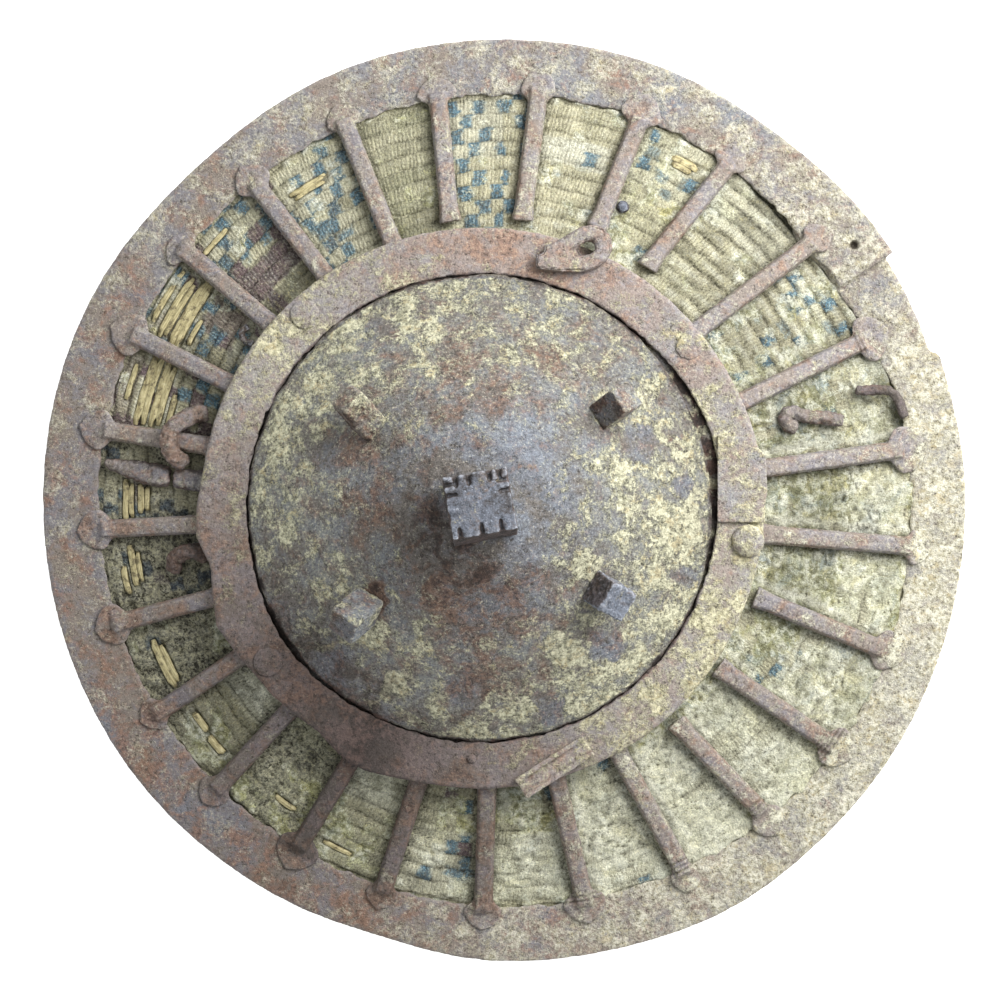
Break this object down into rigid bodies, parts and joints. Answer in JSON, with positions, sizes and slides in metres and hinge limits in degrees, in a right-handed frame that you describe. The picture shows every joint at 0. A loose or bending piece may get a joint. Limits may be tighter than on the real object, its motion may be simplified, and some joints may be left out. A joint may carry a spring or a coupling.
{
  "type": "buckler shield",
  "caption": "Round buckler of coiled cane in a rusted iron frame: flat rim, radial bars with spade ends, ring and pointed dome boss with square studs.",
  "frame": {"origin": "centre of the bounding box's underside: under the centre of the iron rim, on the surface that the back of the shield lies on", "axes": "+Z out through the boss, away from the hand; +Y to the shield's top as it is shown; +X to the right, seen from the front"},
  "size_m": [0.3503, 0.3502, 0.0955],
  "materials": {
    "coiled_cane": "matte, thread-wrapped coils, dirty and crusted",
    "rusted_iron": "matte, pitted, rust and pale crust",
    "dark_iron": "matte, pitted, worn on the corners"
  },
  "bodies": {
    "root": {"wicker_body": "coiled_cane", "rim_hoop": "rusted_iron", "inner_ring": "rusted_iron", "boss": "rusted_iron", "ring_patch": "rusted_iron", "hook_top": "rusted_iron", "strap_bottom": "rusted_iron", "link_left": "rusted_iron", "loop_lower_left": "rusted_iron", "broken_bar_outer": "rusted_iron", "broken_bar_inner": "rusted_iron", "bar_01": "rusted_iron", "bar_02": "rusted_iron", "bar_03": "rusted_iron", "bar_04": "rusted_iron", "bar_05": "rusted_iron", "bar_06": "rusted_iron", "bar_07": "rusted_iron", "bar_08": "rusted_iron", "bar_09": "rusted_iron", "bar_10": "rusted_iron", "bar_11": "rusted_iron", "bar_12": "rusted_iron", "bar_13": "rusted_iron", "bar_14": "rusted_iron", "bar_15": "rusted_iron", "bar_16": "rusted_iron", "bar_17": "rusted_iron", "bar_18": "rusted_iron", "bar_19": "rusted_iron", "bar_20": "rusted_iron", "bar_21": "rusted_iron", "bar_22": "rusted_iron", "bar_23": "rusted_iron", "bar_24": "rusted_iron", "bar_25": "rusted_iron", "central_stud": "dark_iron", "stud_upper_left": "dark_iron", "stud_upper_right": "dark_iron", "stud_lower_right": "dark_iron", "stud_lower_left": "dark_iron", "ring_rivet_upper_left": "dark_iron", "ring_rivet_lower_left": "dark_iron", "ring_rivet_right": "dark_iron", "ring_rivet_upper_right": "dark_iron", "ring_nail": "dark_iron", "cane_nail": "dark_iron", "curl_upper_left": "dark_iron", "pin_inner_right": "dark_iron", "pin_outer_right": "dark_iron"}
  },
  "joints": []
}
